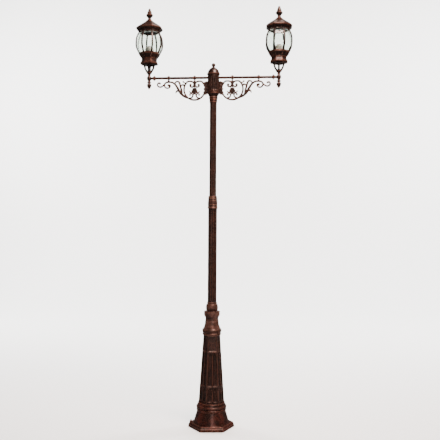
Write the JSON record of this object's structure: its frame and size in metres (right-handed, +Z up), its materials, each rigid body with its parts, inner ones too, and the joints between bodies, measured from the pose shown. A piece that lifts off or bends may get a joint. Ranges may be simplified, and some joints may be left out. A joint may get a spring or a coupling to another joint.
{
  "type": "street lamp post",
  "caption": "Garden street lamp post with a panelled column, a fluted two-stage tube, a crossbar on scroll brackets and glazed octagonal lanterns.",
  "frame": {"origin": "middle of the foot's underside", "axes": "+Z up the post, +X along the crossbar towards the right lantern, -Y towards the front"},
  "size_m": [1.0832, 0.2924, 2.9],
  "materials": {
    "cast_aluminium": "satin",
    "extruded_aluminium": "satin",
    "painted_steel": "satin",
    "zinc_steel": "satin",
    "terminal_plastic": "matte",
    "holder_porcelain": "gloss",
    "bulb_opal": "satin",
    "lantern_glass": "gloss"
  },
  "bodies": {
    "post": {"base_casting": "cast_aluminium", "column_shaft": "cast_aluminium", "column_capital": "cast_aluminium", "ball_collar": "cast_aluminium", "lower_tube": "extruded_aluminium", "middle_collar": "cast_aluminium", "tube_coupler": "zinc_steel", "upper_tube": "extruded_aluminium", "neck_collar": "cast_aluminium", "anchor_stud_1": "painted_steel", "anchor_washer_1": "painted_steel", "anchor_nut_1": "painted_steel", "anchor_stud_2": "painted_steel", "anchor_washer_2": "painted_steel", "anchor_nut_2": "painted_steel", "anchor_stud_3": "painted_steel", "anchor_washer_3": "painted_steel", "anchor_nut_3": "painted_steel"},
    "head": {"hub_bowl": "cast_aluminium", "hub_body": "extruded_aluminium", "hub_dome": "cast_aluminium", "hub_finial": "cast_aluminium", "hub_tie_rod": "zinc_steel", "terminal_block": "terminal_plastic", "arm_bar_right": "extruded_aluminium", "bar_collar_right": "cast_aluminium", "clip_inner_right": "cast_aluminium", "clip_outer_right": "cast_aluminium", "scroll_bracket_right": "cast_aluminium", "end_hub_right": "cast_aluminium", "acorn_drop_right": "cast_aluminium", "lamp_nipple_right": "zinc_steel", "arm_bar_left": "extruded_aluminium", "bar_collar_left": "cast_aluminium", "clip_inner_left": "cast_aluminium", "clip_outer_left": "cast_aluminium", "scroll_bracket_left": "cast_aluminium", "end_hub_left": "cast_aluminium", "acorn_drop_left": "cast_aluminium", "lamp_nipple_left": "zinc_steel"},
    "lantern_right": {"gallery_right": "cast_aluminium", "cup_right": "cast_aluminium", "lampholder_right": "holder_porcelain", "rib_cage_right": "cast_aluminium", "glass_right": "lantern_glass", "roof_bridge_right": "zinc_steel"},
    "bulb_body_right": {"bulb_right": "bulb_opal"},
    "roof_body_right": {"roof_right": "cast_aluminium"},
    "finial_body_right": {"roof_finial_right": "cast_aluminium"},
    "lantern_left": {"gallery_left": "cast_aluminium", "cup_left": "cast_aluminium", "lampholder_left": "holder_porcelain", "rib_cage_left": "cast_aluminium", "glass_left": "lantern_glass", "roof_bridge_left": "zinc_steel"},
    "bulb_body_left": {"bulb_left": "bulb_opal"},
    "roof_body_left": {"roof_left": "cast_aluminium"},
    "finial_body_left": {"roof_finial_left": "cast_aluminium"}
  },
  "joints": [
    {"name": "head_turn", "type": "hinge", "parent": "post", "child": "head", "pos_m": [0, 0, 2.278], "axis": [0, 0, 1], "range_deg": [-180, 180]},
    {"name": "lantern_turn_right", "type": "hinge", "parent": "head", "child": "lantern_right", "pos_m": [0.45, 0, 2.4285], "axis": [0, 0, 1], "range_deg": [-180, 180]},
    {"name": "bulb_turn_right", "type": "hinge", "parent": "lantern_right", "child": "bulb_body_right", "pos_m": [0.45, 0, 2.5333], "axis": [0, 0, 1], "range_deg": [0, 720]},
    {"name": "roof_lift_right", "type": "slide", "parent": "lantern_right", "child": "roof_body_right", "axis": [0, 0, 1], "range_m": [0, 0.18]},
    {"name": "finial_lift_right", "type": "slide", "parent": "roof_body_right", "child": "finial_body_right", "axis": [0, 0, 1], "range_m": [0, 0.03]},
    {"name": "lantern_turn_left", "type": "hinge", "parent": "head", "child": "lantern_left", "pos_m": [-0.45, 0, 2.4285], "axis": [0, 0, 1], "range_deg": [-180, 180]},
    {"name": "bulb_turn_left", "type": "hinge", "parent": "lantern_left", "child": "bulb_body_left", "pos_m": [-0.45, 0, 2.5333], "axis": [0, 0, 1], "range_deg": [0, 720]},
    {"name": "roof_lift_left", "type": "slide", "parent": "lantern_left", "child": "roof_body_left", "axis": [0, 0, 1], "range_m": [0, 0.18]},
    {"name": "finial_lift_left", "type": "slide", "parent": "roof_body_left", "child": "finial_body_left", "axis": [0, 0, 1], "range_m": [0, 0.03]}
  ]
}
